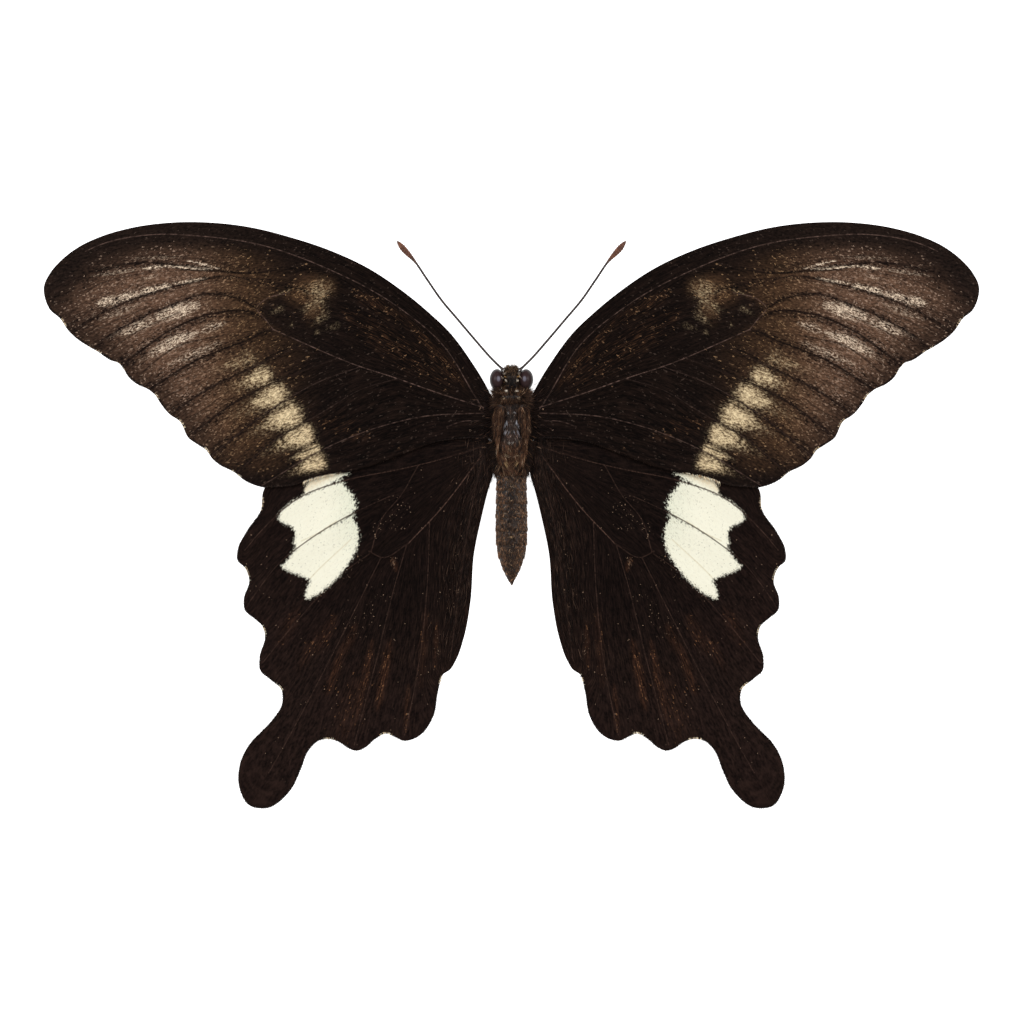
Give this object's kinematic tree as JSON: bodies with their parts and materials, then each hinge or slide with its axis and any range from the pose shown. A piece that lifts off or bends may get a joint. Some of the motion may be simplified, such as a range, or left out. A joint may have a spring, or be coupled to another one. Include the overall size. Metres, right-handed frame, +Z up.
{
  "type": "spread butterfly specimen",
  "caption": "Dried swallowtail butterfly with dark wings spread and a cream patch on each hindwing, lying belly down, with no frame and no pin.",
  "frame": {"origin": "on the surface that the specimen lies on, in the middle of its outline", "axes": "+Y along the body towards the head, +Z up out of the back, +X towards the animal's right wing tip"},
  "size_m": [0.12, 0.0753, 0.0065],
  "materials": {
    "forewing_scales": "brown-black wing scales with paler streaks between the veins",
    "hindwing_scales": "velvety black wing scales with a cream patch",
    "body_hair": "dark hair with a slight sheen",
    "abdomen_scales": "mottled brown scales",
    "eye": "glossy, finely faceted",
    "horn": "smooth dark chitin"
  },
  "bodies": {
    "root": {"head": "body_hair", "eye_left": "eye", "eye_right": "eye", "antenna_left": "horn", "antenna_right": "horn", "palp_left": "body_hair", "palp_right": "body_hair", "proboscis": "horn", "collar": "body_hair", "thorax": "body_hair", "tegula_left": "body_hair", "tegula_right": "body_hair", "abdomen": "abdomen_scales", "forewing_left": "forewing_scales", "forewing_right": "forewing_scales", "hindwing_left": "hindwing_scales", "hindwing_right": "hindwing_scales", "fore_leg_left": "horn", "fore_leg_right": "horn", "mid_leg_left": "horn", "mid_leg_right": "horn", "hind_leg_left": "horn", "hind_leg_right": "horn"}
  },
  "joints": []
}
